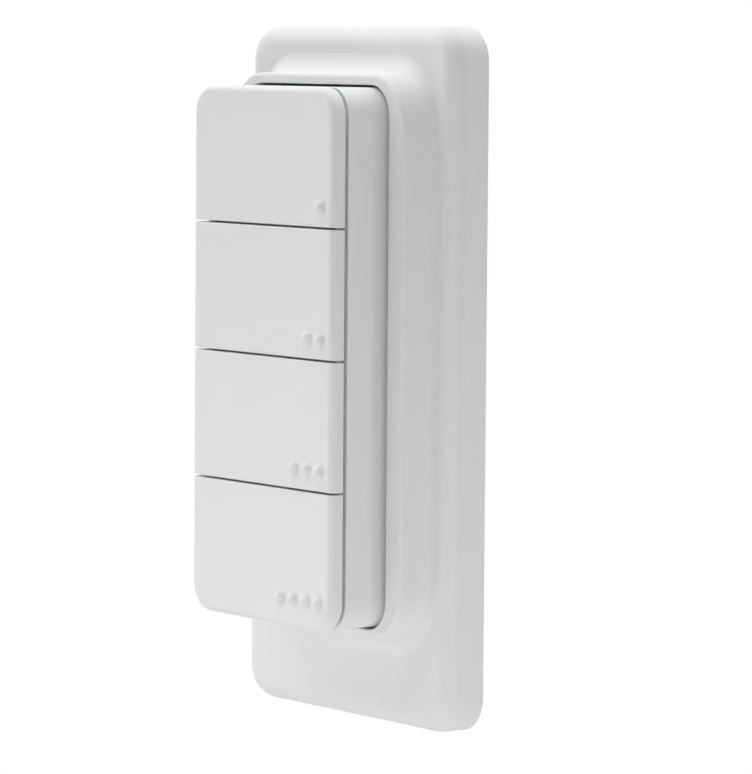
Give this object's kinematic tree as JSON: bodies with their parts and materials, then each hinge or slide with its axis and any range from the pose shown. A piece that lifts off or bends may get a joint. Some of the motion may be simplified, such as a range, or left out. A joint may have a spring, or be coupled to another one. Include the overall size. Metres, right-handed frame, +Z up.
{
  "type": "remote control in wall holder",
  "caption": "Slim white wireless remote control with stacked push keys and raised dots, seated in a magnetic wall holder with a raised rim.",
  "frame": {"origin": "middle of the holder's back face, on the wall", "axes": "+Z up the holder's long side, +Y out of the back face towards the wall, +X to the right seen from the front"},
  "size_m": [0.0434, 0.0186, 0.085],
  "materials": {
    "holder_white": "fine matt moulded plastic, white",
    "housing_white": "fine matt moulded plastic, white",
    "key_white": "fine matt moulded plastic, white",
    "magnet_nickel": "nickel-plated magnet",
    "screw_steel": "zinc-plated steel",
    "board_green": "green solder mask",
    "cell_steel": "nickel-plated steel can",
    "contact_steel": "nickel-plated spring steel",
    "chip_black": "black moulding compound",
    "crystal_metal": "metal can",
    "antenna_ceramic": "pale ceramic",
    "switch_steel": "pressed steel cover",
    "plunger_black": "black plastic"
  },
  "bodies": {
    "holder": {"holder_shell": "holder_white", "holder_back_plate": "holder_white", "holder_magnet_upper": "magnet_nickel", "holder_magnet_lower": "magnet_nickel"},
    "remote": {"housing": "housing_white", "rear_cover": "housing_white", "cover_screw": "screw_steel", "remote_magnet_upper": "magnet_nickel", "remote_magnet_lower": "magnet_nickel", "circuit_board": "board_green", "board_screws": "screw_steel", "coin_cell": "cell_steel", "cell_clip": "contact_steel", "cell_contact": "contact_steel", "radio_chip": "chip_black", "crystal": "crystal_metal", "antenna_chip": "antenna_ceramic", "switch_body_1": "switch_steel", "switch_body_2": "switch_steel", "switch_body_3": "switch_steel", "switch_body_4": "switch_steel"},
    "key_1": {"key_1": "key_white", "switch_plunger_1": "plunger_black"},
    "key_2": {"key_2": "key_white", "switch_plunger_2": "plunger_black"},
    "key_3": {"key_3": "key_white", "switch_plunger_3": "plunger_black"},
    "key_4": {"key_4": "key_white", "switch_plunger_4": "plunger_black"}
  },
  "joints": [
    {"name": "remote_pull", "type": "slide", "parent": "holder", "child": "remote", "axis": [0, -1, 0], "range_m": [0, 0.03]},
    {"name": "key_1_press", "type": "slide", "parent": "remote", "child": "key_1", "axis": [0, 1, 0], "range_m": [0, 0.00035], "stiffness_N_per_m": 2000},
    {"name": "key_2_press", "type": "slide", "parent": "remote", "child": "key_2", "axis": [0, 1, 0], "range_m": [0, 0.00035], "stiffness_N_per_m": 2000},
    {"name": "key_3_press", "type": "slide", "parent": "remote", "child": "key_3", "axis": [0, 1, 0], "range_m": [0, 0.00035], "stiffness_N_per_m": 2000},
    {"name": "key_4_press", "type": "slide", "parent": "remote", "child": "key_4", "axis": [0, 1, 0], "range_m": [0, 0.00035], "stiffness_N_per_m": 2000}
  ]
}
